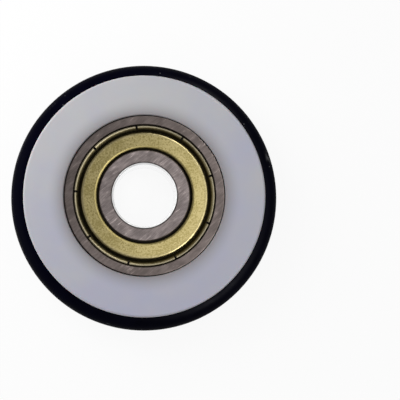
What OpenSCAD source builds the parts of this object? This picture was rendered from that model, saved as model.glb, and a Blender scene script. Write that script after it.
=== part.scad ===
// Grooved idler wheel: a moulded nylon body with an O-ring for a tyre in its V groove,
// turning on a shielded deep groove ball bearing that is pressed into its centre.
// Millimetres. +Z runs along the axle and out of the front face. The origin is the
// centre of the wheel, and the wheel lies on its back face.

/* [Wheel body] */
// Diameter over the two flanges
body_d = 38.9; // [38:0.1:46.6]
// Width from face to face
body_w = 10.2; // [9.5:0.1:16]
// Rounding of the flanges' outer edges
flange_round = 0.4; // [0.1:0.05:0.8]
// Rounding of the edges at the groove's mouth
mouth_round = 0.15; // [0.05:0.05:0.3]
// Rounding in the two corners of the groove's floor
floor_round = 0.5; // [0.1:0.1:1]
// Angle between the groove's two flanks
groove_angle = 36; // [20:1:60]
// Depth of the bearing below the front face
seat_recess = 0.1; // [0:0.05:0.5]
// Chamfer at the mouth of the bearing's seat
seat_lead = 0.12; // [0.05:0.01:0.3]
// How far the lip behind the bearing reaches in over its outer ring
lip_cover = 1.2; // [0.6:0.1:1.4]
// Rounding of the lip's edge on the back face
lip_round = 0.4; // [0.1:0.1:0.8]

/* [O-ring tyre] */
// How far the tread stands out past the flanges
tyre_proud = 2.65; // [2.2:0.05:3.2]
// Thickness of the round section
tyre_section = 5.7; // [4:0.1:6]
// Gap between the O-ring and the groove
tyre_gap = 0.03; // [0.02:0.01:0.1]
// Width of the mould's parting ridge round the tread
parting_w = 0.16; // [0.1:0.02:0.3]
// Height of the parting ridge
parting_h = 0.04; // [0.02:0.01:0.1]

/* [Bearing rings] */
// Diameter of the bore
bore_d = 10; // [8:0.5:11]
// Outer diameter
bearing_d = 26; // [25.4:0.1:31]
// Width of both rings
bearing_w = 8; // [7.4:0.1:9.6]
// Rounding of the rings' outer corners and of the bore's edges
ring_round = 0.3; // [0.1:0.05:0.5]
// Step down from the inner ring's shoulders to its two ends, under the shields' hems
step_h = 0.38; // [0.3:0.02:0.42]
// Length of those ends, from the ring's faces
step_w = 1.05; // [1:0.05:1.2]
// Chamfer round the inner ring's faces
land_chamfer = 0.1; // [0.05:0.05:0.2]
// Chamfer at the mouth of the outer ring's recesses
mouth_chamfer = 0.06; // [0.02:0.02:0.12]
// Depth of the ball tracks in the rings' shoulders
race_depth = 1.05; // [0.8:0.05:1.1]
// Track radius as a share of the ball's diameter
conformity = 0.52; // [0.51:0.005:0.54]
// Gap between a ball and the bottom of each track
race_gap = 0.012; // [0.01:0.001:0.03]

/* [Balls and cage] */
// Number of balls
ball_n = 7; // [5:1:7]
// Diameter of a ball
ball_d = 4.762; // [4:0.001:5]
// Thickness of the cage's steel strip
cage_t = 0.4; // [0.3:0.05:0.5]
// Width of the strip from its inner to its outer edge
cage_w = 2; // [1.6:0.1:2.2]
// Gap between a ball and its pocket
pocket_gap = 0.08; // [0.05:0.01:0.12]
// Space left beside a rivet's head on the flat between two pockets
rivet_margin = 0.3; // [0.2:0.05:0.4]
// Height of a rivet's head
rivet_head_h = 0.3; // [0.2:0.05:0.35]
// Gap between a rivet's shank and its hole
rivet_gap = 0.02; // [0.01:0.01:0.04]

/* [Shields] */
// Thickness of the shields' sheet
shield_t = 0.22; // [0.16:0.01:0.26]
// Depth of a shield's flat below the rings' faces
shield_sink = 0.2; // [0.1:0.05:0.4]
// Gap between the inner ring's ends and a shield's hem
hem_gap = 0.28; // [0.2:0.02:0.34]
// Slope of the hem
hem_slope = 60; // [50:1:75]
// Length of the hem below its bend
hem_leg = 0.35; // [0.2:0.05:0.45]
// Radius of the sheet's bends, at the middle of its thickness
bend_r = 0.25; // [0.2:0.01:0.3]
// Slope of the wall that goes down from the flat to the fold
wall_slope = 66; // [50:1:75]
// Inside radius of the fold
fold_in = 0.02; // [0.01:0.01:0.08]
// Slope of the flank that comes up from the fold to the bead
flank_slope = 40; // [38:1:60]
// Depth of the ledge that the fold sits on, below the rings' faces
ledge_depth = 1.1; // [1:0.05:1.1]
// Width of that ledge, from the shoulder to the wall outside the shield
ledge_w = 1.15; // [1.1:0.05:1.3]
// Radius of the groove that the rim is rolled into
undercut_r = 0.3; // [0.28:0.01:0.35]
// Depth of the rolled bead below the rings' faces
bead_sink = 0.35; // [0.3:0.05:0.45]
// Radius of the bead, at the middle of the sheet's thickness
bead_r = 0.14; // [0.14:0.01:0.2]
// Gap between the bead and the outer ring
bead_gap = 0.08; // [0.06:0.01:0.12]
// Height of the tail's end above the ledge, where it is rolled under the outer ring
tail_lift = 0.2; // [0.2:0.05:0.3]
// Number of notches in the rolled rim
notch_n = 9; // [6:1:12]
// Width of a notch
notch_w = 0.36; // [0.2:0.02:0.6]
// Angle of the first notch
notch_turn = 16.6; // [0:0.1:40]

/* [Hidden] */
$fn = 144;
BALLS = [for (i = [1:ball_n]) str("ball_", i)];

nylon = [0.84, 0.85, 0.87];
rubber = [0.07, 0.07, 0.08];
ground_steel = [0.55, 0.53, 0.52];
polished_steel = [0.78, 0.79, 0.8];
strip_steel = [0.62, 0.62, 0.6];
gold_zinc = [0.75, 0.68, 0.42];

// A cut runs this far past the face that it opens
past = 1;
// Pieces of one section overlap by this much where they join
lap = 0.01;

// Rings: the tracks are worked out from the balls, and the shoulders from the tracks
pitch_r = (bore_d + bearing_d) / 4;
ball_r = ball_d / 2;
race_r = conformity * ball_d;
inner_race_r = pitch_r - ball_r - race_gap;
outer_race_r = pitch_r + ball_r + race_gap;
inner_shoulder_r = inner_race_r + race_depth;
outer_shoulder_r = outer_race_r - race_depth;
inner_end_r = inner_shoulder_r - step_h;
bore_r = bore_d / 2;
bearing_r = bearing_d / 2;
face_z = bearing_w / 2;
ledge_z = face_z - ledge_depth;
ledge_r = outer_shoulder_r + ledge_w;

// Wheel body
body_r = body_d / 2;
seat_z = body_w / 2 - seat_recess - bearing_w;
bearing_z = seat_z + bearing_w / 2;
lip_r = bearing_r - lip_cover;

// Tyre and groove
tyre_r = tyre_section / 2;
tread_r = body_r + tyre_proud;
tyre_ring_r = tread_r - tyre_r;
flank = groove_angle / 2;
groove_floor_r = tyre_ring_r - tyre_r - tyre_gap;

// Half the groove's width at radius r: its flanks touch a circle round the O-ring's section
function groove_half(r) = (r - tyre_ring_r) * tan(flank) + (tyre_r + tyre_gap) / cos(flank);

// Cage: the flats between the pockets carry the rivets
cage_in = pitch_r - cage_w / 2;
cage_out = pitch_r + cage_w / 2;
pocket_r = ball_r + pocket_gap;
pocket_out = pocket_r + cage_t;
ball_step = 360 / ball_n;
flat_w = 2 * (pitch_r * sin(ball_step / 2) - pocket_out);
rivet_head_r = flat_w / 2 - rivet_margin;
rivet_r = 0.55 * rivet_head_r;
rivet_dome_r = (rivet_head_r * rivet_head_r + rivet_head_h * rivet_head_h) / (2 * rivet_head_h);

// Shield, along the middle of its sheet: hem, flat, wall, fold, flank, bead and tail
tail_slope = 45;
sheet_r = shield_t / 2;
hem_reach = (bend_r + sheet_r) * sin(hem_slope) + hem_leg * cos(hem_slope);
flat_start_r = inner_end_r + hem_gap + hem_reach;
flat_z = face_z - shield_sink - sheet_r;
bead_mid_r = ledge_r - bead_gap - sheet_r - bead_r;
bead_z = face_z - bead_sink - sheet_r - bead_r;
fold_r = fold_in + sheet_r;
fold_z = ledge_z + sheet_r + fold_r;
flank_dz = bead_z - fold_z + (bead_r + fold_r) * cos(flank_slope);
fold_mid_r = bead_mid_r - (bead_r + fold_r) * sin(flank_slope) - flank_dz / tan(flank_slope);
wall_dz = flat_z - bend_r - fold_z + (bend_r + fold_r) * cos(wall_slope);
flat_end_r = fold_mid_r - (bend_r + fold_r) * sin(wall_slope) - wall_dz / tan(wall_slope);
notch_in = bead_mid_r - bead_r - sheet_r;

// A rectangle in a section, from its lowest to its highest radius and height
module block(r0, r1, z0, z1) {
    translate([r0, z0]) square([r1 - r0, z1 - z0]);
}

// What a rounding of radius r takes off a corner: t1 and t2 are where it touches the edges
module corner_piece(centre, t1, corner, t2, r) {
    beyond = corner + 0.1 * (corner - centre);
    difference() {
        polygon([centre, t1, beyond, t2]);
        translate(centre) circle(r = r);
    }
}

// The same for a square corner, which points the way that out gives
module square_corner(corner, out, r) {
    centre = corner - r * out;
    corner_piece(centre, [corner[0], centre[1]], corner, [centre[0], corner[1]], r);
}

// A straight stretch of sheet in a section, lapped into its neighbours
module strip(p, q) {
    run = q - p;
    translate(p) rotate(atan2(run[1], run[0]))
        translate([-lap, -shield_t / 2]) square([norm(run) + 2 * lap, shield_t]);
}

// A bend of the sheet in a section, from angle a0 to angle a1
module bend(centre, r, a0, a1) {
    reach = 4 * (r + shield_t);
    step = (a1 - a0) / 2;
    translate(centre) intersection() {
        difference() {
            circle(r = r + shield_t / 2);
            circle(r = r - shield_t / 2);
        }
        polygon([[0, 0], for (k = [0:2]) reach * [cos(a0 + k * step), sin(a0 + k * step)]]);
    }
}

// Both sides of a section, mirrored about its middle plane
module both_sides() {
    children();
    mirror([0, 1]) children();
}

module groove_section() {
    mouth_r = body_r + past;
    centre_r = groove_floor_r + floor_round;
    centre_z = groove_half(centre_r) - floor_round / cos(flank);
    difference() {
        polygon([
            [groove_floor_r, -groove_half(groove_floor_r)],
            [mouth_r, -groove_half(mouth_r)],
            [mouth_r, groove_half(mouth_r)],
            [groove_floor_r, groove_half(groove_floor_r)]
        ]);
        both_sides() corner_piece(
            [centre_r, centre_z],
            [groove_floor_r, centre_z],
            [groove_floor_r, groove_half(groove_floor_r)],
            [centre_r, centre_z] + floor_round * [-sin(flank), cos(flank)],
            floor_round
        );
    }
}

module groove_mouth_rounding() {
    centre = [body_r - mouth_round, groove_half(body_r - mouth_round) + mouth_round / cos(flank)];
    corner_piece(
        centre,
        centre + mouth_round * [sin(flank), -cos(flank)],
        [body_r, groove_half(body_r)],
        [body_r, centre[1]],
        mouth_round
    );
}

module wheel_body() {
    color(nylon) rotate_extrude() difference() {
        block(lip_r, body_r, -body_w / 2, body_w / 2);
        block(lip_r - past, bearing_r, seat_z, body_w / 2 + past);
        polygon([
            [bearing_r - past, body_w / 2 + past],
            [bearing_r - past, body_w / 2 - seat_lead - past],
            [bearing_r + seat_lead + past, body_w / 2 + past]
        ]);
        groove_section();
        both_sides() {
            groove_mouth_rounding();
            square_corner([body_r, body_w / 2], [1, 1], flange_round);
        }
        square_corner([lip_r, -body_w / 2], [-1, -1], lip_round);
    }
}

module o_ring_tyre() {
    color(rubber) rotate_extrude() {
        translate([tyre_ring_r, 0]) circle(r = tyre_r);
        block(tread_r - tyre_r / 4, tread_r + parting_h, -parting_w / 2, parting_w / 2);
    }
}

module outer_ring() {
    color(ground_steel) rotate_extrude() difference() {
        block(outer_shoulder_r, bearing_r, -face_z, face_z);
        translate([outer_race_r - race_r, 0]) circle(r = race_r);
        both_sides() {
            block(outer_shoulder_r - past, ledge_r, ledge_z, face_z + past);
            translate([ledge_r, ledge_z + undercut_r]) circle(r = undercut_r);
            polygon([
                [ledge_r - past, face_z + past],
                [ledge_r - past, face_z - mouth_chamfer - past],
                [ledge_r + mouth_chamfer + past, face_z + past]
            ]);
            square_corner([bearing_r, face_z], [1, 1], ring_round);
        }
    }
}

module inner_ring() {
    color(ground_steel) rotate_extrude() difference() {
        block(bore_r, inner_shoulder_r, -face_z, face_z);
        translate([inner_race_r + race_r, 0]) circle(r = race_r);
        both_sides() {
            block(inner_end_r, inner_shoulder_r + past, face_z - step_w, face_z + past);
            square_corner([bore_r, face_z], [-1, 1], ring_round);
            polygon([
                [inner_end_r - land_chamfer - past, face_z + past],
                [inner_end_r + past, face_z + past],
                [inner_end_r + past, face_z - land_chamfer - past]
            ]);
        }
    }
}

// The way a slope runs in a section, outwards and down, and the way out of its upper side
function down(slope) = [cos(slope), -sin(slope)];
function out_of(slope) = [sin(slope), cos(slope)];

module shield_section() {
    hem_bend = [flat_start_r, flat_z - bend_r];
    flat_bend = [flat_end_r, flat_z - bend_r];
    fold = [fold_mid_r, fold_z];
    bead = [bead_mid_r, bead_z];
    hem_top = hem_bend + bend_r * out_of(-hem_slope);
    tail_top = bead + bead_r * out_of(tail_slope);
    tail_run = (tail_top[1] - ledge_z - tail_lift) / sin(tail_slope);
    strip(hem_top - hem_leg * down(-hem_slope), hem_top);
    bend(hem_bend, bend_r, 90, 90 + hem_slope);
    strip([flat_start_r, flat_z], [flat_end_r, flat_z]);
    bend(flat_bend, bend_r, 90 - wall_slope, 90);
    strip(flat_bend + bend_r * out_of(wall_slope), fold - fold_r * out_of(wall_slope));
    bend(fold, fold_r, 270 - wall_slope, 270 + flank_slope);
    strip(fold - fold_r * out_of(-flank_slope), bead + bead_r * out_of(-flank_slope));
    bend(bead, bead_r, tail_slope, 90 + flank_slope);
    strip(tail_top, tail_top + tail_run * down(tail_slope));
}

// One shield, as it sits in the front of the bearing
module shield() {
    difference() {
        rotate_extrude() shield_section();
        for (i = [0:notch_n - 1]) {
            rotate([0, 0, notch_turn + i * 360 / notch_n]) translate([notch_in, 0, ledge_z - past]) {
                translate([0, -notch_w / 2, 0]) cube([2 * past, notch_w, ledge_depth + 2 * past]);
                cylinder(r = notch_w / 2, h = ledge_depth + 2 * past);
            }
        }
    }
}

module shield_front() {
    color(gold_zinc) shield();
}

module shield_back() {
    color(gold_zinc) mirror([0, 0, 1]) shield();
}

// Puts its children at each ball, or halfway between the balls with a turn of half a step
module round_the_pitch(turn = 0) {
    for (i = [0:ball_n - 1]) {
        rotate([0, 0, i * ball_step + turn]) translate([pitch_r, 0, 0]) children();
    }
}

// One half of the cage: flats on the middle plane, with a domed pocket over each ball
module cage_half() {
    difference() {
        intersection() {
            difference() {
                cylinder(r = cage_out, h = pocket_out + past);
                translate([0, 0, -past]) cylinder(r = cage_in, h = pocket_out + 3 * past);
            }
            union() {
                translate([0, 0, -past]) cylinder(r = cage_out + past, h = cage_t + past);
                round_the_pitch() sphere(r = pocket_out);
            }
        }
        round_the_pitch() sphere(r = pocket_r);
        round_the_pitch(ball_step / 2) translate([0, 0, -past])
            cylinder(r = rivet_r + rivet_gap, h = cage_t + 2 * past);
    }
}

module cage_front() {
    color(strip_steel) cage_half();
}

module cage_back() {
    color(strip_steel) mirror([0, 0, 1]) cage_half();
}

module rivet_section() {
    block(0, rivet_r, -cage_t - lap, cage_t + lap);
    both_sides() intersection() {
        translate([0, cage_t + rivet_head_h - rivet_dome_r]) circle(r = rivet_dome_r);
        block(0, rivet_dome_r, cage_t, cage_t + rivet_head_h + past);
    }
}

module cage_rivets() {
    color(polished_steel) round_the_pitch(ball_step / 2) rotate_extrude() rivet_section();
}

module ball(i) {
    color(polished_steel) rotate([0, 0, (i - 1) * ball_step]) translate([pitch_r, 0, 0]) sphere(d = ball_d);
}

// The bearing's parts are drawn about its own centre and set in the seat
module seated() {
    translate([0, 0, bearing_z]) children();
}

wheel_body();
o_ring_tyre();
seated() outer_ring();
seated() inner_ring();
seated() shield_front();
seated() shield_back();
seated() cage_front();
seated() cage_back();
seated() cage_rivets();
for (i = [1:ball_n]) {
    seated() ball(i);
}
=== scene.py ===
"""Grooved wheel with an O-ring tyre: the finishes of its pieces, a plain studio and a camera."""

import math

import bpy
from mathutils import Matrix, Vector


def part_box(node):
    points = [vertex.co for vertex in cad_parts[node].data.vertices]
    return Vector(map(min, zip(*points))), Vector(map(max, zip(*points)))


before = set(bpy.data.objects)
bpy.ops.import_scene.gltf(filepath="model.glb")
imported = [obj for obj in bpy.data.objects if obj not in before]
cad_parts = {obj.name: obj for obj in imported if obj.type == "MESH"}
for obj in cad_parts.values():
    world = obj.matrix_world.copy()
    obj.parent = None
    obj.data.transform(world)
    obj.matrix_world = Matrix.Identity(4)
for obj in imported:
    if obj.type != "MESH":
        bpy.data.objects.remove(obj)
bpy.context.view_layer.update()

bl_info = {
    "name": "Grooved Wheel",
    "version": (1, 0, 0),
    "blender": (4, 5, 0),
    "location": "View3D > Sidebar > Wheel",
    "description": "Finishes the pieces of a grooved wheel and sets up its studio",
    "category": "Object",
}

RINGS = ("outer_ring", "inner_ring")
SHIELDS = ("shield_front", "shield_back")
CAGE = ("cage_front", "cage_back")
BALLS = tuple(sorted(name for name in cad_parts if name.startswith("ball_")))

BODY_LOW, BODY_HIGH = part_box("wheel_body")
BEARING_MIDDLE = (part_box("inner_ring")[1].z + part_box("inner_ring")[0].z) / 2
BORE_RADIUS = 0.005
SEAT_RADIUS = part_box("outer_ring")[1].x

# Where one finish gives way to the next, in metres from the axle.
BORE_WALL = (BORE_RADIUS + 0.00001, BORE_RADIUS + 0.00003)
BORE_EDGE = (BORE_RADIUS + 0.0002, BORE_RADIUS + 0.00025)
BORE_CHAMFER = (BORE_RADIUS + 0.0003, BORE_RADIUS + 0.00054)
HEM = (0.00785, 0.0081)
BETWEEN_RINGS = (0.008, 0.01)
FLAT_EDGE = (0.0096, 0.0099)
BEAD = (0.0109, 0.0111)
SEAT_CHAMFER = (SEAT_RADIUS - 0.0003, SEAT_RADIUS - 0.0001)
FLANGE_EDGE = (BODY_HIGH.x - 0.0004, BODY_HIGH.x - 0.0003)
TREAD = (0.0208, 0.0214)

# The same along the axle, in metres from the bearing's middle.
RECESS_FLOOR = (0.0027, 0.0029)
RECESS_TOP = (0.0036, 0.0038)
FOLD_DEPTH = (0.00338, 0.00372)

# How many patches of each pattern lie side by side in a metre.
NYLON_CLOUDS = 260.0
NYLON_BLOTCHES = 90.0
NYLON_SKIN = 5200.0
RUBBER_BLOOM = 420.0
RUBBER_DUST = 420.0
RUBBER_SKIN = 3800.0
STEEL_PATCHES = 450.0
ZINC_PATCHES = 380.0
STRIP_SCUFFS = 1800.0
POLISH_HAZE = 1500.0
FLOOR_SPECKLE = 240.0

# Distance between the lines that run round the tread and the plate, in metres.
GLINT_LINE_PITCH = 0.0004
STREAK_PITCH = 0.00022

# Towards the nylon's side that is painted paler, and towards the zinc's side that is painted paler:
# painted light.
NYLON_LIT_SIDE = (-0.1, 0.14, 0.0)
ZINC_LIT_SIDE = (0.92, -0.4, 0.0)

# Azimuth and elevation in degrees, distance and size in metres, power in watts.
LAMPS = {
    "left": (180, 8, 0.45, 0.5, 0.5),
    "upper_right": (60, 40, 0.5, 0.15, 1.0),
    "lower_right": (-48, 40, 0.5, 0.15, 1.05),
    "upper_left": (142, 42, 0.115, 0.07, 0.076),
}
ONLY_IN_REFLECTIONS = ("upper_right", "lower_right")
NOT_IN_REFLECTIONS = ("upper_left",)

FLOOR_RADIUS = 1.5
LIT_UNDER_BORE = (BORE_RADIUS, BORE_RADIUS + 0.003)
OVERHEAD_SPREAD = (0.7, 1.0)
SENSOR_WIDTH = 36.0
NEAREST_SEEN = 0.005


def colour(name, description, default):
    return bpy.props.FloatVectorProperty(
        name=name,
        description=description,
        default=default,
        subtype="COLOR",
        size=3,
        min=0.0,
        max=1.0,
    )


def factor(name, description, default):
    return bpy.props.FloatProperty(
        name=name,
        description=description,
        default=default,
        subtype="FACTOR",
        min=0.0,
        max=1.0,
    )


def length(name, description, default):
    return bpy.props.FloatProperty(
        name=name,
        description=description,
        default=default,
        subtype="DISTANCE",
        unit="LENGTH",
        min=0.0,
        precision=5,
    )


def angle(name, description, default):
    return bpy.props.FloatProperty(
        name=name,
        description=description,
        default=math.radians(default),
        subtype="ANGLE",
        unit="ROTATION",
    )


class NylonFinish(bpy.types.PropertyGroup):
    """The moulded body."""

    face: colour("Face", "Natural nylon away from the bearing", (0.428, 0.432, 0.545))
    # Also the colour of the painted light on the nylon's paler side.
    warm_and_lit: colour("Warm patches", "Warmer, paler nylon", (0.492, 0.492, 0.51))
    # Painted shade beside the bearing.
    shade_beside_steel: colour(
        "Beside the steel",
        "Nylon beside the bearing, where dark steel shows through",
        (0.26, 0.245, 0.255),
    )
    # Painted light on the flanges' upright edges.
    rim_light: colour("Rim", "Flanges' outer edges, where light comes through", (0.76, 0.755, 0.735))
    # The painted shade beside the bearing fades out over this width.
    shade_width: length("Shade width", "How far the steel shows through, out from the seat", 0.0028)
    roughness: factor("Roughness", "Roughness of the moulded face", 0.42)
    translucency: factor("Translucency", "How much light travels inside the nylon", 0.12)


class RubberFinish(bpy.types.PropertyGroup):
    """The O-ring."""

    colour: colour("Colour", "Black nitrile rubber", (0.0004, 0.0004, 0.0038))
    # Also the colour of the painted glints on the tread.
    dust: colour("Dust", "Pale flecks and scuffs on the rubber", (0.2, 0.2, 0.21))
    roughness: factor("Roughness", "Roughness of the moulded rubber", 0.36)
    sheen: factor("Gloss", "How strongly the rubber reflects", 0.025)


class SteelFinish(bpy.types.PropertyGroup):
    """The rings, the cage, the rivets and the balls."""

    inner: colour("Inner ring", "Ground bearing steel", (0.197, 0.167, 0.162))
    outer: colour("Outer ring", "Darker ground bearing steel", (0.126, 0.104, 0.097))
    # Painted shade in the recesses and at the chamfers.
    recess_shade: colour("Recesses", "Turned steel, left black by hardening", (0.014, 0.012, 0.01))
    # Also the white of the painted highlight on the bore's broken edge.
    bore: colour("Bore", "Honed steel", (0.95, 0.95, 0.95))
    strip: colour("Strip", "Pressed steel strip", (0.34, 0.34, 0.32))
    polished: colour("Polished", "Balls and rivets", (0.56, 0.57, 0.58))
    ring_roughness: factor("Ring roughness", "Roughness of the ground faces", 0.4)
    bore_roughness: factor("Bore roughness", "Roughness of the honed bore", 0.12)
    grinding_pitch: length("Grinding pitch", "Distance between the grinding lines", 0.00009)


class ZincFinish(bpy.types.PropertyGroup):
    """The shields."""

    colour: colour("Colour", "Yellow zinc plate", (0.43, 0.358, 0.168))
    # Also the painted shade on the hem.
    stain_and_shade: colour("Stain", "Darker, greener patches in the plate", (0.295, 0.242, 0.094))
    roughness: factor("Roughness", "Roughness of the plated sheet", 0.3)
    grain: length("Grain", "Size of the plate's grain", 0.0003)
    crown: colour("Worn crown", "Bead rubbed brighter and greyer", (0.315, 0.284, 0.211))
    # Painted shade at the bottom of the fold.
    fold: factor("Fold", "How much of the plate's colour is left at the bottom of the fold", 0.1)


class StudioSettings(bpy.types.PropertyGroup):
    """The camera, the lamps and the floor."""

    lens: bpy.props.FloatProperty(
        name="Lens",
        description="Focal length",
        default=65.6,
        subtype="DISTANCE_CAMERA",
        min=10.0,
    )
    distance: length("Distance", "From the camera to the wheel's centre", 0.1218)
    tilt_down: angle("Tilt", "How far the camera sits below the axle line", 3.05)
    tilt_left: angle("Swing", "How far the camera sits to the left of the axle line", 0.8)
    shift: bpy.props.FloatVectorProperty(
        name="Shift",
        description="Where the frame's centre lies beside the wheel",
        default=(0.1398, -0.0075),
        size=2,
    )
    floor: colour("Floor", "Pale floor", (0.9, 0.9, 0.9))
    floor_mirrored: colour("Mirrored floor", "The floor as shiny surfaces see it", (0.4, 0.4, 0.4))
    floor_glow: factor("Floor glow", "Share of the floor that reads as plain white", 0.915)
    fill: factor("Fill", "Light from all around on dull surfaces", 0.48)
    overhead: bpy.props.FloatProperty(
        name="Overhead",
        description="What shiny surfaces reflect from above",
        default=2.35,
        min=0.0,
    )
    horizon: factor("Horizon", "What shiny surfaces reflect from the sides", 0.35)
    lean: bpy.props.FloatVectorProperty(
        name="Lean",
        description="Where the brightest part overhead is",
        default=(0.52, -0.2, 0.83),
        size=3,
    )


class WheelSettings(bpy.types.PropertyGroup):
    """Everything that can be changed."""

    nylon: bpy.props.PointerProperty(type=NylonFinish)
    rubber: bpy.props.PointerProperty(type=RubberFinish)
    steel: bpy.props.PointerProperty(type=SteelFinish)
    zinc: bpy.props.PointerProperty(type=ZincFinish)
    studio: bpy.props.PointerProperty(type=StudioSettings)


def settings(context):
    return context.scene.grooved_wheel


def with_alpha(rgb):
    return (*rgb, 1.0)


def shade(rgb, amount):
    return with_alpha([channel * amount for channel in rgb])


class Nodes:
    """A node tree under construction, with short ways to add and join nodes."""

    def __init__(self, tree):
        self.tree = tree

    def add(self, kind, **values):
        node = self.tree.nodes.new(kind)
        for name, value in values.items():
            setattr(node, name, value)
        return node

    def join(self, source, target):
        self.tree.links.new(source, target)

    def put(self, socket, value):
        """Links a socket to another, or sets its value."""
        if isinstance(value, bpy.types.NodeSocket):
            self.join(value, socket)
        else:
            socket.default_value = value

    def maths(self, operation, first, second=0.0):
        node = self.add("ShaderNodeMath", operation=operation)
        self.put(node.inputs[0], first)
        self.put(node.inputs[1], second)
        return node.outputs[0]

    def weighted(self, *parts):
        """The sum of some values, each times its share."""
        first, *others = [self.maths("MULTIPLY", value, share) for value, share in parts]
        for other in others:
            first = self.maths("ADD", first, other)
        return first

    def vector_maths(self, operation, *values):
        node = self.add("ShaderNodeVectorMath", operation=operation)
        for socket, value in zip(node.inputs, values):
            self.put(socket, value)
        return node.outputs["Value" if operation in ("LENGTH", "DOT_PRODUCT") else "Vector"]

    def along(self, vector, direction):
        """How far a vector points in a fixed direction."""
        return self.vector_maths("DOT_PRODUCT", vector, direction)

    def ramp(self, value, span, result=(0.0, 1.0)):
        """Goes smoothly from the first result to the second while the value crosses the span."""
        node = self.add("ShaderNodeMapRange", interpolation_type="SMOOTHSTEP")
        self.join(value, node.inputs["Value"])
        for name, number in zip(("From Min", "From Max", "To Min", "To Max"), (*span, *result)):
            node.inputs[name].default_value = number
        return node.outputs["Result"]


class Surface(Nodes):
    """A material under construction. Its patterns are laid out in the piece's own coordinates."""

    def __init__(self, name):
        self.material = bpy.data.materials.new(name)
        self.material.use_nodes = True
        super().__init__(self.material.node_tree)
        self.shader = self.tree.nodes["Principled BSDF"]
        coordinates = self.add("ShaderNodeTexCoord")
        self.place = coordinates.outputs["Object"]
        self.facing = coordinates.outputs["Normal"]

    def set(self, **values):
        for name, value in values.items():
            self.put(self.shader.inputs[name.replace("_", " ")], value)

    def blend(self, amount, first, second):
        node = self.add("ShaderNodeMix", data_type="RGBA")
        self.put(node.inputs["Factor"], amount)
        self.put(node.inputs["A"], first)
        self.put(node.inputs["B"], second)
        return node.outputs["Result"]

    def vary(self, amount, rgb, darkest, brightest):
        """One colour, from darkest to brightest times as bright."""
        return self.blend(amount, shade(rgb, darkest), shade(rgb, brightest))

    def split(self, vector):
        node = self.add("ShaderNodeSeparateXYZ")
        self.join(vector, node.inputs[0])
        return node.outputs

    def combine(self, *parts):
        node = self.add("ShaderNodeCombineXYZ")
        for socket, part in zip(node.inputs, parts):
            self.join(part, socket)
        return node.outputs[0]

    def radius(self):
        """The distance from the axle."""
        x, y, _z = self.split(self.place)
        return self.vector_maths("LENGTH", self.combine(x, y))

    def outwards(self):
        """A unit vector away from the axle."""
        x, y, _z = self.split(self.place)
        return self.vector_maths("NORMALIZE", self.combine(x, y))

    def from_middle(self):
        """The distance from the bearing's middle, along the axle."""
        height = self.split(self.place)["Z"]
        return self.maths("ABSOLUTE", self.maths("SUBTRACT", height, BEARING_MIDDLE))

    def noise(self, scale, detail=2.0, roughness=0.5, vector=None):
        node = self.add("ShaderNodeTexNoise")
        self.join(self.place if vector is None else vector, node.inputs["Vector"])
        node.inputs["Scale"].default_value = scale
        node.inputs["Detail"].default_value = detail
        node.inputs["Roughness"].default_value = roughness
        return node.outputs["Fac"]

    def brushing(self, pitch, direction, stretch):
        """Straight marks at an angle in degrees, each of them stretch times as long as wide."""
        turn = self.add("ShaderNodeMapping", vector_type="TEXTURE")
        self.join(self.place, turn.inputs["Vector"])
        turn.inputs["Rotation"].default_value = (0.0, 0.0, math.radians(direction))
        turn.inputs["Scale"].default_value = (pitch * stretch, pitch, pitch * stretch)
        return self.noise(1.0, 3.0, 0.6, turn.outputs["Vector"])

    def grinding(self, pitch, changes):
        """Fine lines that run round the axle. The more changes, the sooner they start and stop."""
        out = self.maths("DIVIDE", self.radius(), pitch)
        up = self.maths("DIVIDE", self.split(self.place)["Z"], pitch)
        way = self.add("ShaderNodeVectorMath", operation="SCALE")
        self.join(self.outwards(), way.inputs["Vector"])
        way.inputs["Scale"].default_value = changes
        x, y, _z = self.split(way.outputs["Vector"])
        return self.noise(1.0, 3.0, 0.6, self.combine(self.maths("ADD", out, up), x, y))

    def bump(self, height, depth, strength):
        node = self.add("ShaderNodeBump")
        node.inputs["Strength"].default_value = strength
        node.inputs["Distance"].default_value = depth
        self.join(height, node.inputs["Height"])
        self.join(node.outputs["Normal"], self.shader.inputs["Normal"])


def finish(surface, *names):
    """Gives the named pieces this material in place of what they came with."""
    for name in names:
        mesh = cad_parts[name].data
        mesh.materials.clear()
        mesh.materials.append(surface.material)


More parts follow.
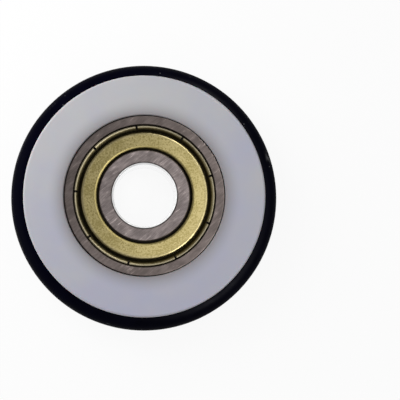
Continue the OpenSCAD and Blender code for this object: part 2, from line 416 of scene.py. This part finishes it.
class WHEEL_OT_body(bpy.types.Operator):
    """Finishes the moulded nylon body"""

    bl_idname = "grooved_wheel.body"
    bl_label = "Body"

    def execute(self, context):
        nylon = settings(context).nylon
        surface = Surface("natural_nylon")
        radius = surface.radius()
        clouds = surface.noise(NYLON_CLOUDS, 3.0)
        blotches = surface.noise(NYLON_BLOTCHES)

        # The face, in cooler and warmer patches, with painted light that makes it paler towards one
        # side.
        warmth_and_light = surface.weighted((clouds, 0.4), (blotches, 0.6))
        warmth_and_light = surface.maths("ADD", warmth_and_light, surface.along(surface.outwards(), NYLON_LIT_SIDE))
        warmth_and_light = surface.ramp(warmth_and_light, (0.2, 0.8))
        plain = surface.blend(warmth_and_light, with_alpha(nylon.face), with_alpha(nylon.warm_and_lit))

        # Painted shade: darker beside the bearing.
        out_of_shade = surface.ramp(radius, (SEAT_RADIUS, SEAT_RADIUS + nylon.shade_width))
        out_of_shade = surface.maths("POWER", out_of_shade, 0.5)
        tint = surface.blend(out_of_shade, with_alpha(nylon.shade_beside_steel), plain)

        # Painted light: paler on the flanges' upright edges, in bands like highlights.
        level = surface.maths("ABSOLUTE", surface.split(surface.facing)["Z"])
        upright = surface.ramp(level, (0.3, 0.85), (0.85, 0.0))
        rim_light_mask = surface.maths("MULTIPLY", surface.ramp(radius, FLANGE_EDGE), upright)
        light_bands = surface.vary(surface.ramp(blotches, (0.35, 0.65)), nylon.rim_light, 0.85, 1.15)

        roughness = (nylon.roughness - 0.05, nylon.roughness + 0.07)
        surface.set(
            Base_Color=surface.blend(rim_light_mask, tint, light_bands),
            Roughness=surface.ramp(clouds, (0.2, 0.8), roughness),
            IOR=1.53,
            Subsurface_Weight=nylon.translucency,
            Subsurface_Scale=0.0012,
        )
        surface.bump(surface.noise(NYLON_SKIN, 3.0), depth=0.00002, strength=0.25)
        finish(surface, "wheel_body")
        return {"FINISHED"}


class WHEEL_OT_tyre(bpy.types.Operator):
    """Finishes the rubber O-ring"""

    bl_idname = "grooved_wheel.tyre"
    bl_label = "O-ring"

    def execute(self, context):
        rubber = settings(context).rubber
        surface = Surface("black_rubber")
        bloom = surface.noise(RUBBER_BLOOM, 4.0)

        # Dust all over, and painted glints in lines round the tread.
        dust = surface.add("ShaderNodeTexVoronoi")
        surface.join(surface.place, dust.inputs["Vector"])
        dust.inputs["Scale"].default_value = RUBBER_DUST
        flecks = surface.ramp(dust.outputs["Distance"], (0.02, 0.045), (1.0, 0.0))
        # Painted glints on the tread.
        scuffs = surface.ramp(surface.grinding(GLINT_LINE_PITCH, 5.0), (0.64, 0.74), (0.0, 0.45))
        scuffs = surface.maths("MULTIPLY", scuffs, surface.ramp(surface.radius(), TREAD))
        marks = surface.maths("MAXIMUM", flecks, scuffs)

        black = surface.vary(bloom, rubber.colour, 0.7, 1.5)
        roughness = (rubber.roughness - 0.06, rubber.roughness + 0.1)
        surface.set(
            Base_Color=surface.blend(marks, black, with_alpha(rubber.dust)),
            Roughness=surface.ramp(bloom, (0.25, 0.75), roughness),
            IOR=1.52,
            Specular_IOR_Level=rubber.sheen,
        )
        surface.bump(surface.noise(RUBBER_SKIN, 4.0), depth=0.00003, strength=0.2)
        finish(surface, "o_ring_tyre")
        return {"FINISHED"}


class WHEEL_OT_rings(bpy.types.Operator):
    """Finishes the bearing's ground rings"""

    bl_idname = "grooved_wheel.rings"
    bl_label = "Bearing rings"

    def execute(self, context):
        steel = settings(context).steel
        surface = Surface("ground_steel")
        radius = surface.radius()
        lines = surface.brushing(steel.grinding_pitch, direction=40.0, stretch=20.0)
        smears = surface.brushing(steel.grinding_pitch * 4.0, direction=37.0, stretch=4.0)
        patches = surface.noise(STEEL_PATCHES, 4.0)

        # The ground faces, with a painted glint where a bright smear and a bright line meet.
        tone = surface.weighted((smears, 0.35), (patches, 0.3), (lines, 0.35))
        tone = surface.ramp(tone, (0.4, 0.6))
        bright_smear = surface.ramp(smears, (0.58, 0.68))
        bright_line = surface.ramp(lines, (0.45, 0.6))
        painted_glint = surface.maths("MULTIPLY", bright_smear, bright_line)
        inner = surface.vary(tone, steel.inner, 0.7, 1.3)
        inner = surface.blend(painted_glint, inner, shade(steel.inner, 2.2))
        outer = surface.vary(tone, steel.outer, 0.76, 1.24)
        outer = surface.blend(painted_glint, outer, shade(steel.outer, 2.0))
        face = surface.blend(surface.ramp(radius, BETWEEN_RINGS), inner, outer)

        # Painted shade: black in the recesses beside the shields, and a dark line at each chamfer.
        black = with_alpha(steel.recess_shade)
        from_middle = surface.from_middle()
        below = surface.ramp(from_middle, RECESS_TOP, (1.0, 0.0))
        above = surface.ramp(from_middle, RECESS_FLOOR)
        outside_bore = surface.ramp(radius, BORE_EDGE)
        in_recess = surface.maths("MULTIPLY", surface.maths("MULTIPLY", below, above), outside_bore)
        at_bore = surface.ramp(radius, BORE_CHAMFER, (0.85, 0.0))
        at_seat = surface.ramp(radius, SEAT_CHAMFER, (0.0, 0.85))
        ground = surface.blend(surface.maths("ADD", at_bore, at_seat), face, black)
        ground = surface.blend(in_recess, ground, black)

        # The bore is honed bright. Its broken edge is a painted highlight: pale, and it doesn't
        # mirror.
        inside_bore = surface.maths("SUBTRACT", 1.0, outside_bore)
        broken_edge_highlight = surface.maths("MULTIPLY", surface.ramp(radius, BORE_WALL), inside_bore)
        roughness = (steel.bore_roughness, steel.ring_roughness)
        surface.set(
            Base_Color=surface.blend(outside_bore, with_alpha(steel.bore), ground),
            Metallic=surface.maths("SUBTRACT", 1.0, broken_edge_highlight),
            Roughness=surface.ramp(outside_bore, (0.0, 1.0), roughness),
            Anisotropic=0.4,
        )
        tangent = surface.add("ShaderNodeTangent", direction_type="RADIAL", axis="Z")
        surface.join(tangent.outputs["Tangent"], surface.shader.inputs["Tangent"])
        surface.bump(lines, depth=0.000012, strength=0.35)
        finish(surface, *RINGS)
        return {"FINISHED"}


class WHEEL_OT_shields(bpy.types.Operator):
    """Finishes the two plated shields"""

    bl_idname = "grooved_wheel.shields"
    bl_label = "Shields"

    def execute(self, context):
        zinc = settings(context).zinc
        surface = Surface("yellow_zinc")
        radius = surface.radius()
        grain = surface.noise(1.0 / zinc.grain, 4.0, 0.65)
        patches = surface.noise(ZINC_PATCHES, 3.0)
        streaks = surface.grinding(STREAK_PITCH, 5.0)

        # The plate, with painted light: lighter towards one side and darker towards the other.
        tone = surface.weighted((patches, 0.25), (streaks, 0.15), (grain, 0.6))
        tone = surface.ramp(tone, (0.44, 0.56))
        lit_plate = surface.blend(tone, shade(zinc.stain_and_shade, 1.12), shade(zinc.colour, 1.12))
        shaded_plate = surface.blend(tone, shade(zinc.stain_and_shade, 0.83), shade(zinc.colour, 0.83))
        lit_side = surface.ramp(surface.along(surface.outwards(), ZINC_LIT_SIDE), (-1.0, 1.0))
        plate = surface.blend(lit_side, shaded_plate, lit_plate)

        # Painted shade on the hem, in the stain's colour. Rubbed on the bead and the flat's outer
        # edge.
        hem = surface.ramp(radius, HEM, (1.0, 0.0))
        bead = surface.ramp(radius, BEAD, (0.0, 0.75))
        worn = surface.maths("MAXIMUM", bead, surface.ramp(radius, FLAT_EDGE, (0.0, 0.2)))
        plate = surface.blend(surface.maths("MULTIPLY", hem, 0.7), plate, with_alpha(zinc.stain_and_shade))
        plate = surface.blend(worn, plate, with_alpha(zinc.crown))

        # Painted shade: black at the bottom of the fold.
        depth = surface.ramp(surface.from_middle(), FOLD_DEPTH, (zinc.fold, 1.0))
        plate = surface.blend(depth, with_alpha((0.0, 0.0, 0.0)), plate)

        rough = surface.ramp(grain, (0.3, 0.7), (zinc.roughness - 0.05, zinc.roughness + 0.08))
        rougher = surface.maths("MULTIPLY", surface.maths("MAXIMUM", worn, hem), 0.2)
        surface.set(
            Base_Color=plate,
            Metallic=1.0,
            Roughness=surface.maths("ADD", rough, rougher),
        )
        surface.bump(grain, depth=0.000018, strength=0.3)
        finish(surface, *SHIELDS)
        return {"FINISHED"}


class WHEEL_OT_cage(bpy.types.Operator):
    """Finishes the pressed steel cage"""

    bl_idname = "grooved_wheel.cage"
    bl_label = "Cage"

    def execute(self, context):
        steel = settings(context).steel
        surface = Surface("strip_steel")
        scuffs = surface.noise(STRIP_SCUFFS, 4.0)
        surface.set(
            Base_Color=surface.vary(scuffs, steel.strip, 0.8, 1.2),
            Metallic=1.0,
            Roughness=surface.ramp(scuffs, (0.25, 0.75), (0.3, 0.45)),
        )
        surface.bump(scuffs, depth=0.00001, strength=0.25)
        finish(surface, *CAGE)
        return {"FINISHED"}


class WHEEL_OT_balls(bpy.types.Operator):
    """Finishes the polished balls and rivets"""

    bl_idname = "grooved_wheel.balls"
    bl_label = "Balls and rivets"

    def execute(self, context):
        steel = settings(context).steel
        surface = Surface("polished_steel")
        haze = surface.noise(POLISH_HAZE, 3.0)
        surface.set(
            Base_Color=surface.vary(haze, steel.polished, 0.93, 1.07),
            Metallic=1.0,
            Roughness=surface.ramp(haze, (0.25, 0.75), (0.06, 0.13)),
        )
        surface.bump(haze, depth=0.000003, strength=0.1)
        finish(surface, "cage_rivets", *BALLS)
        return {"FINISHED"}


def add_lamp(name, azimuth, elevation, distance, size, power):
    """A soft square lamp that faces the wheel's centre."""
    turn, rise = math.radians(azimuth), math.radians(elevation)
    way = (math.cos(rise) * math.cos(turn), math.cos(rise) * math.sin(turn), math.sin(rise))
    light = bpy.data.lights.new(name, "AREA")
    light.shape = "SQUARE"
    light.size = size
    light.energy = power
    lamp = bpy.data.objects.new(name, light)
    lamp.location = Vector(way) * distance
    lamp.rotation_euler = Vector(way).to_track_quat("Z", "Y").to_euler()
    lamp.visible_diffuse = name not in ONLY_IN_REFLECTIONS
    lamp.visible_glossy = name not in NOT_IN_REFLECTIONS
    bpy.context.scene.collection.objects.link(lamp)


class WHEEL_OT_studio(bpy.types.Operator):
    """Sets up the floor, the lamps and the camera"""

    bl_idname = "grooved_wheel.studio"
    bl_label = "Studio"

    def make_floor(self, studio):
        """White to the camera, and grey in reflections except under the bore."""
        bpy.ops.mesh.primitive_circle_add(
            vertices=96, radius=FLOOR_RADIUS, fill_type="NGON", location=(0, 0, BODY_LOW.z)
        )
        floor = bpy.context.active_object
        floor.name = "floor"
        surface = Surface("pale_floor")
        path = surface.add("ShaderNodeLightPath")
        mirrored = path.outputs["Is Glossy Ray"]
        pale = surface.vary(surface.noise(FLOOR_SPECKLE), studio.floor, 0.99, 1.01)
        surface.set(
            Base_Color=surface.blend(mirrored, pale, with_alpha(studio.floor_mirrored)),
            Roughness=0.9,
            Specular_IOR_Level=0.1,
        )
        under_bore = surface.ramp(surface.radius(), LIT_UNDER_BORE, (1.0, 0.0))
        white = surface.maths("MULTIPLY", mirrored, under_bore)
        white = surface.maths("MAXIMUM", path.outputs["Is Camera Ray"], white)
        glow = surface.add("ShaderNodeEmission")
        mixed = surface.add("ShaderNodeMixShader")
        surface.join(surface.maths("MULTIPLY", white, studio.floor_glow), mixed.inputs[0])
        surface.join(surface.shader.outputs[0], mixed.inputs[1])
        surface.join(glow.outputs[0], mixed.inputs[2])
        surface.join(mixed.outputs[0], surface.tree.nodes["Material Output"].inputs["Surface"])
        floor.data.materials.append(surface.material)

    def make_world(self, studio):
        """White to the camera, even on dull surfaces, and brightest overhead in reflections."""
        world = bpy.data.worlds.new("studio")
        bpy.context.scene.world = world
        world.use_nodes = True
        world.cycles.sampling_method = "NONE"
        nodes = Nodes(world.node_tree)
        background = nodes.tree.nodes["Background"]
        background.inputs["Color"].default_value = (1, 1, 1, 1)
        path = nodes.add("ShaderNodeLightPath")
        glossy = path.outputs["Is Glossy Ray"]
        way = nodes.add("ShaderNodeTexCoord").outputs["Generated"]
        overhead = nodes.along(way, Vector(studio.lean).normalized())
        sky = nodes.ramp(overhead, OVERHEAD_SPREAD, (studio.horizon, studio.overhead))
        dull = nodes.maths("MULTIPLY", nodes.maths("SUBTRACT", 1.0, glossy), studio.fill)
        lit = nodes.maths("ADD", dull, nodes.maths("MULTIPLY", glossy, sky))
        strength = nodes.maths("MAXIMUM", lit, path.outputs["Is Camera Ray"])
        nodes.join(strength, background.inputs["Strength"])

    def make_camera(self, studio):
        camera = bpy.data.objects.new("camera", bpy.data.cameras.new("camera"))
        bpy.context.scene.collection.objects.link(camera)
        camera.data.lens = studio.lens
        camera.data.sensor_width = SENSOR_WIDTH
        camera.data.shift_x, camera.data.shift_y = studio.shift
        camera.data.clip_start = NEAREST_SEEN
        way = Vector((-math.tan(studio.tilt_left), -math.tan(studio.tilt_down), 1.0)).normalized()
        right = Vector((0.0, 1.0, 0.0)).cross(way).normalized()
        camera.location = way * studio.distance
        camera.rotation_euler = Matrix((right, way.cross(right), way)).transposed().to_euler()
        bpy.context.scene.camera = camera

    def execute(self, context):
        studio = settings(context).studio
        self.make_floor(studio)
        self.make_world(studio)
        for name, values in LAMPS.items():
            add_lamp(name, *values)
        self.make_camera(studio)
        context.scene.view_settings.view_transform = "Standard"
        return {"FINISHED"}


class WHEEL_PT_panel(bpy.types.Panel):
    """The wheel's pieces and their finishes"""

    bl_idname = "WHEEL_PT_panel"
    bl_label = "Grooved wheel"
    bl_space_type = "VIEW_3D"
    bl_region_type = "UI"
    bl_category = "Wheel"

    def draw(self, context):
        for operator in OPERATORS:
            self.layout.operator(operator.bl_idname)
        wheel = settings(context)
        for group in (wheel.nylon, wheel.rubber, wheel.steel, wheel.zinc, wheel.studio):
            box = self.layout.box()
            for name in group.__annotations__:
                box.prop(group, name)


OPERATORS = (
    WHEEL_OT_body,
    WHEEL_OT_tyre,
    WHEEL_OT_rings,
    WHEEL_OT_shields,
    WHEEL_OT_cage,
    WHEEL_OT_balls,
    WHEEL_OT_studio,
)
GROUPS = (NylonFinish, RubberFinish, SteelFinish, ZincFinish, StudioSettings, WheelSettings)
CLASSES = (*GROUPS, *OPERATORS, WHEEL_PT_panel)


def register():
    for item in CLASSES:
        bpy.utils.register_class(item)
    bpy.types.Scene.grooved_wheel = bpy.props.PointerProperty(type=WheelSettings)


def unregister():
    del bpy.types.Scene.grooved_wheel
    for item in reversed(CLASSES):
        bpy.utils.unregister_class(item)


def main():
    register()
    bpy.ops.grooved_wheel.body()
    bpy.ops.grooved_wheel.tyre()
    bpy.ops.grooved_wheel.rings()
    bpy.ops.grooved_wheel.shields()
    bpy.ops.grooved_wheel.cage()
    bpy.ops.grooved_wheel.balls()
    bpy.ops.grooved_wheel.studio()


if __name__ == "__main__":
    main()
